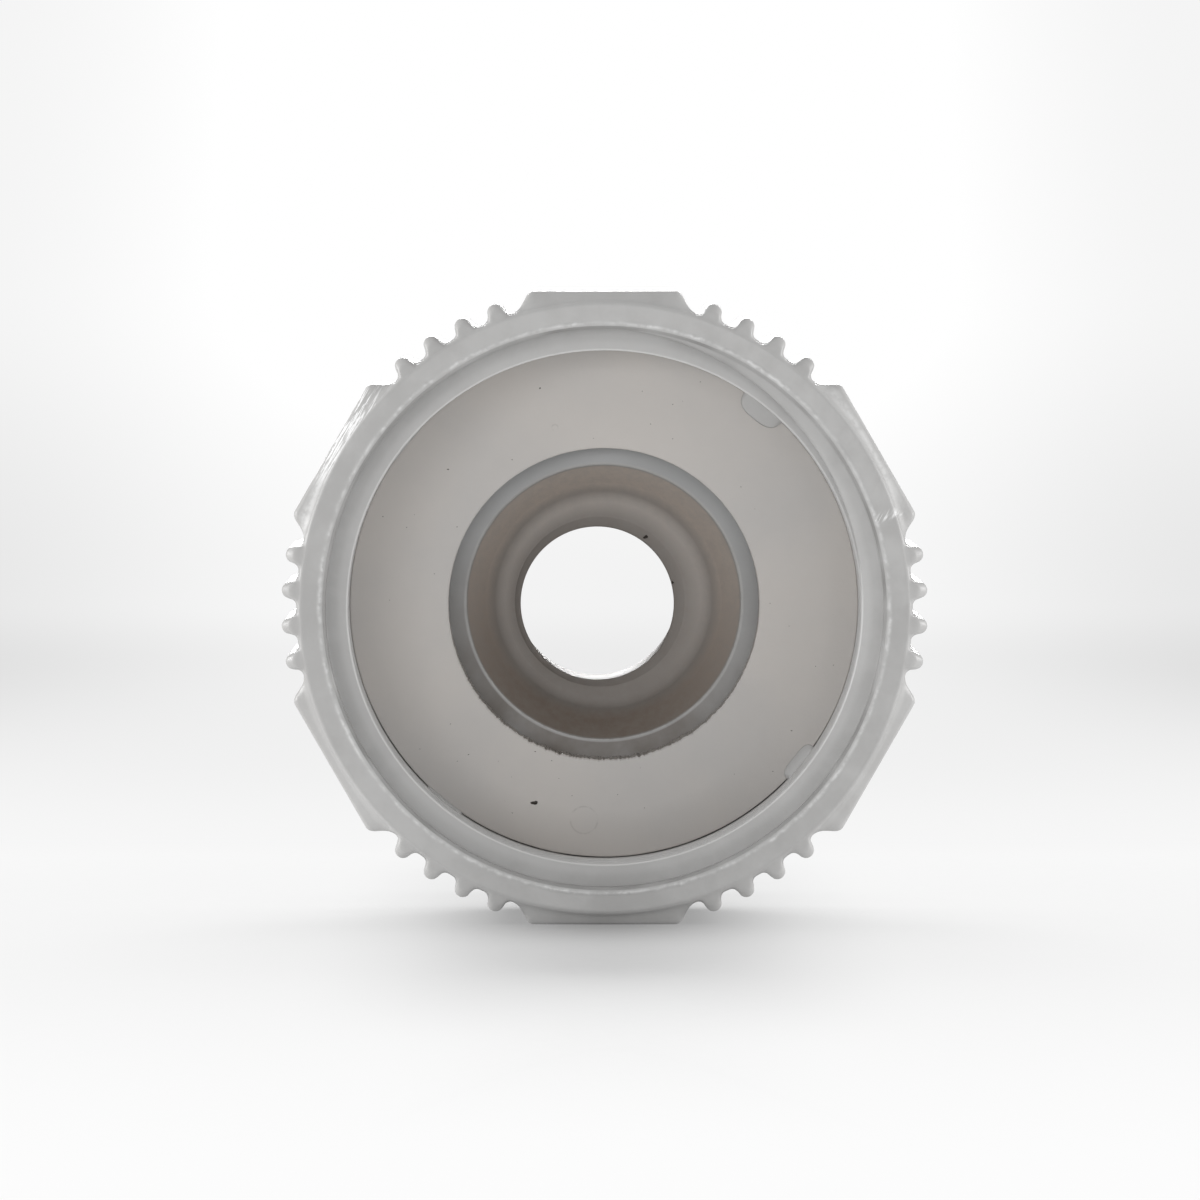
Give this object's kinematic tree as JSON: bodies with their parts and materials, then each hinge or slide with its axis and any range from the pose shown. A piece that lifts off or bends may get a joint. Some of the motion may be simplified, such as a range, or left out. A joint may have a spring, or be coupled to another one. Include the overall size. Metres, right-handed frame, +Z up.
{
  "type": "female tap connector",
  "caption": "Female threaded tap connector: a ribbed six-sided plastic collar with a sealing washer, and a quick-connect spigot with an O-ring behind it",
  "frame": {"origin": "centre of the bounding box's underside: on the ground, under the middle of the length, below the axis", "axes": "+Y runs along the fitting's axis from the threaded mouth to the spigot's tip, +Z is up from the flat it rests on, +X is to the right seen from the mouth"},
  "size_m": [0.0306, 0.0392, 0.03],
  "materials": {
    "moulded_grey": "light grey moulded plastic, satin, with fine flow marks and a rough mouth edge",
    "washer_rubber": "warm grey die-cut sheet rubber, matt, with small specks",
    "o_ring_rubber": "black rubber, slightly greased"
  },
  "bodies": {
    "root": {"body": "moulded_grey", "sealing_washer": "washer_rubber", "spigot_o_ring": "o_ring_rubber"}
  },
  "joints": []
}
